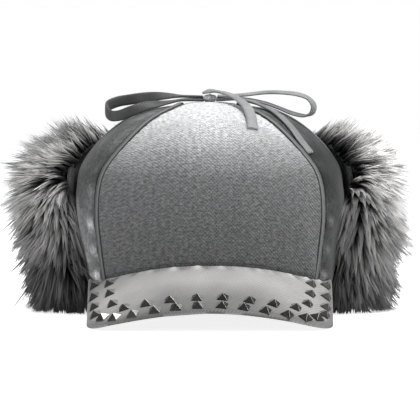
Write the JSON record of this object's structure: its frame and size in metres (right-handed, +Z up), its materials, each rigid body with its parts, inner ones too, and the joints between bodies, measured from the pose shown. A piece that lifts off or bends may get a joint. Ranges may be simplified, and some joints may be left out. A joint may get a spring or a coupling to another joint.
{
  "type": "fur cap",
  "caption": "Fur-trimmed winter cap with a panelled cloth crown, a studded peak, folded-up fur ear and neck flaps, and flap straps tied in a bow on top.",
  "frame": {"origin": "middle of the footprint, on the surface the cap rests on", "axes": "+Z up through the crown, the peak points along -Y, +X to the wearer's left"},
  "size_m": [0.3036, 0.333, 0.1651],
  "materials": {
    "panel_cloth": "woven, faded",
    "side_cloth": "brushed",
    "peak_cloth": "satin",
    "piping_cloth": "corded",
    "flap_cloth": "brushed",
    "fur": "deep pile",
    "strap": "semi-gloss",
    "stud_metal": "gunmetal"
  },
  "bodies": {
    "root": {"crown_centre_panel": "panel_cloth", "crown_side_panel_left": "side_cloth", "crown_side_panel_right": "side_cloth", "seam_piping_left": "piping_cloth", "seam_piping_right": "piping_cloth", "peak": "peak_cloth", "ear_flap_left": "flap_cloth", "ear_flap_right": "flap_cloth", "neck_flap": "flap_cloth", "ear_fur_left": "fur", "ear_fur_right": "fur", "neck_fur": "fur", "strap_left": "strap", "strap_right": "strap", "bow_knot": "strap", "bow_loop_left": "strap", "bow_loop_right": "strap", "bow_tail_front": "strap", "bow_tail_right": "strap", "stud_outer_left_1": "stud_metal", "stud_outer_left_2": "stud_metal", "stud_outer_left_3": "stud_metal", "stud_outer_left_4": "stud_metal", "stud_outer_left_5": "stud_metal", "stud_outer_left_6": "stud_metal", "stud_outer_left_7": "stud_metal", "stud_outer_left_8": "stud_metal", "stud_outer_left_9": "stud_metal", "stud_outer_left_10": "stud_metal", "stud_outer_right_1": "stud_metal", "stud_outer_right_2": "stud_metal", "stud_outer_right_3": "stud_metal", "stud_outer_right_4": "stud_metal", "stud_outer_right_5": "stud_metal", "stud_outer_right_6": "stud_metal", "stud_outer_right_7": "stud_metal", "stud_outer_right_8": "stud_metal", "stud_outer_right_9": "stud_metal", "stud_outer_right_10": "stud_metal", "stud_inner_left_1": "stud_metal", "stud_inner_left_2": "stud_metal", "stud_inner_left_3": "stud_metal", "stud_inner_left_4": "stud_metal", "stud_inner_left_5": "stud_metal", "stud_inner_left_6": "stud_metal", "stud_inner_left_7": "stud_metal", "stud_inner_right_1": "stud_metal", "stud_inner_right_2": "stud_metal", "stud_inner_right_3": "stud_metal", "stud_inner_right_4": "stud_metal", "stud_inner_right_5": "stud_metal", "stud_inner_right_6": "stud_metal", "stud_inner_right_7": "stud_metal"}
  },
  "joints": []
}
